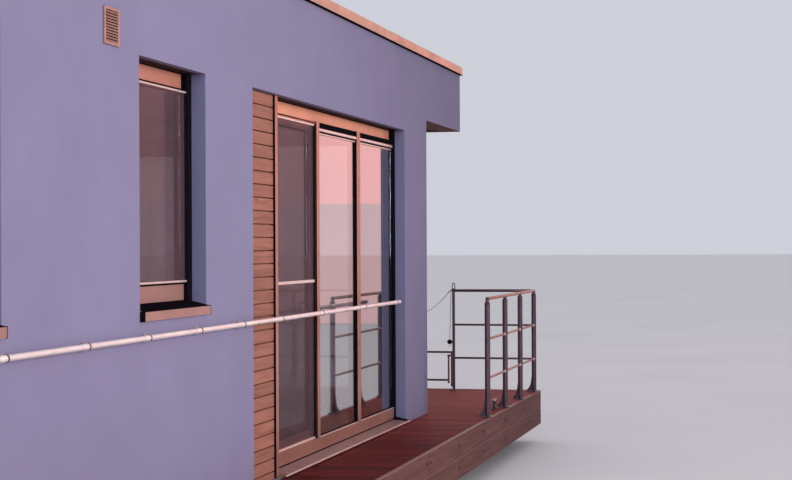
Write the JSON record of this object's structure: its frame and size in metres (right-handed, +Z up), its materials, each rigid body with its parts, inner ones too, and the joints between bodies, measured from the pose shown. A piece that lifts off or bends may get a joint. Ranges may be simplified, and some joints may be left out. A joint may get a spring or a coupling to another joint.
{
  "type": "houseboat",
  "caption": "Flat-roofed houseboat on twin floats, with rendered cabin, glazed side and terrace doors, railed bow terrace, bathing ladder and outboard motor.",
  "frame": {"origin": "under the middle of the boat's length and beam, in the plane of the floats' flat bottoms", "axes": "+X forward to the bow terrace, +Y to port, +Z up"},
  "size_m": [13.946, 5.012, 4.102],
  "materials": {
    "float_shell": "satin gelcoat, weathered at the waterline",
    "frame_steel": "matt anti-rust paint",
    "deck_boards": "oiled reddish hardwood boards",
    "fascia_boards": "brushed brown composite wood boards",
    "floor_boards": "satin floor boards",
    "wall_render": "fine-grained mineral render",
    "roof_skin": "matt roofing sheet",
    "soffit_boards": "dark stained boards",
    "cap_sheet": "folded sheet, satin",
    "cladding_boards": "horizontal larch boards",
    "frame_aluminium": "satin powder coat",
    "glazing": "double glazing",
    "screen_mesh": "light frame with dark mesh",
    "door_panel": "satin paint",
    "vent_metal": "satin",
    "rail_steel": "brushed stainless tube",
    "post_paint": "satin dark paint",
    "rope_fibre": "laid rope",
    "hook_metal": "dark metal",
    "motor_metal": "satin paint on cast metal",
    "motor_cowl": "satin moulded cowl"
  },
  "bodies": {
    "hull": {"float_starboard": "float_shell", "float_port": "float_shell", "deck_frame": "frame_steel", "deck_terrace": "deck_boards", "deck_stern": "deck_boards", "deck_side_starboard": "deck_boards", "deck_side_port": "deck_boards", "fascia_starboard": "fascia_boards", "fascia_port": "fascia_boards", "fascia_bow": "fascia_boards", "fascia_stern": "fascia_boards", "cabin_floor": "floor_boards", "wall_starboard": "wall_render", "wall_port": "wall_render", "wall_front": "wall_render", "wall_rear": "wall_render", "roof_slab": "roof_skin", "overhang_fascia": "wall_render", "soffit": "soffit_boards", "roof_cap": "cap_sheet", "cladding_starboard": "cladding_boards", "cladding_port": "cladding_boards", "door_frame_starboard": "frame_aluminium", "door_frame_port": "frame_aluminium", "door_glass_starboard": "glazing", "door_glass_port": "glazing", "insect_screen": "screen_mesh", "window_frame_starboard_fore": "frame_aluminium", "window_frame_starboard_aft": "frame_aluminium", "window_frame_port_fore": "frame_aluminium", "window_frame_port_aft": "frame_aluminium", "window_glass_starboard_fore": "glazing", "window_glass_starboard_aft": "glazing", "window_glass_port_fore": "glazing", "window_glass_port_aft": "glazing", "terrace_door_frame": "frame_aluminium", "terrace_fixed_glass": "glazing", "entrance_frame": "frame_aluminium", "vent_grille": "vent_metal", "handrail_starboard": "rail_steel", "handrail_port": "rail_steel", "railing_side_starboard": "post_paint", "railing_side_port": "post_paint", "railing_bow_starboard": "post_paint", "railing_bow_port": "post_paint", "boarding_rope": "rope_fibre", "rope_tail": "rope_fibre", "snap_hook": "hook_metal", "ladder_bracket": "rail_steel", "motor_clamp": "motor_metal"},
    "side_door": {"door_leaf_starboard": "frame_aluminium", "door_leaf_glass_starboard": "glazing"},
    "terrace_door": {"terrace_door_leaf": "frame_aluminium", "terrace_leaf_glass": "glazing"},
    "entrance_door": {"entrance_leaf": "door_panel"},
    "ladder_top_section": {"ladder_upper": "rail_steel"},
    "ladder_bottom_section": {"ladder_lower": "rail_steel"},
    "motor_swivel_bracket": {"motor_swivel": "motor_metal"},
    "outboard_motor": {"motor": "motor_cowl"},
    "outboard_propeller": {"propeller": "motor_metal"}
  },
  "joints": [
    {"name": "side_door_hinge", "type": "hinge", "parent": "hull", "child": "side_door", "pos_m": [0.441, -1.711, 2.2], "axis": [0, 0, 1], "range_deg": [0, 90]},
    {"name": "terrace_door_slide", "type": "slide", "parent": "hull", "child": "terrace_door", "axis": [0, -1, 0], "range_m": [0, 1.19]},
    {"name": "entrance_door_hinge", "type": "hinge", "parent": "hull", "child": "entrance_door", "pos_m": [-5.112, 1.1957, 2.05], "axis": [0, 0, 1], "range_deg": [0, 90]},
    {"name": "ladder_hinge", "type": "hinge", "parent": "hull", "child": "ladder_top_section", "pos_m": [6.957, -1.405, 1.032], "axis": [0, 1, 0], "range_deg": [0, 180]},
    {"name": "ladder_fold", "type": "hinge", "parent": "ladder_top_section", "child": "ladder_bottom_section", "pos_m": [6.929, -1.405, 1.33], "axis": [0, 1, 0], "range_deg": [0, 180]},
    {"name": "motor_tilt", "type": "hinge", "parent": "hull", "child": "motor_swivel_bracket", "pos_m": [-6.656, 0, 0.905], "axis": [0, 1, 0], "range_deg": [0, 65]},
    {"name": "motor_steer", "type": "hinge", "parent": "motor_swivel_bracket", "child": "outboard_motor", "pos_m": [-6.741, 0, 0.77], "axis": [0, 0, 1], "range_deg": [-35, 35]},
    {"name": "propeller_spin", "type": "hinge", "parent": "outboard_motor", "child": "outboard_propeller", "pos_m": [-6.936, 0, 0.215], "axis": [1, 0, 0], "continuous": true}
  ]
}
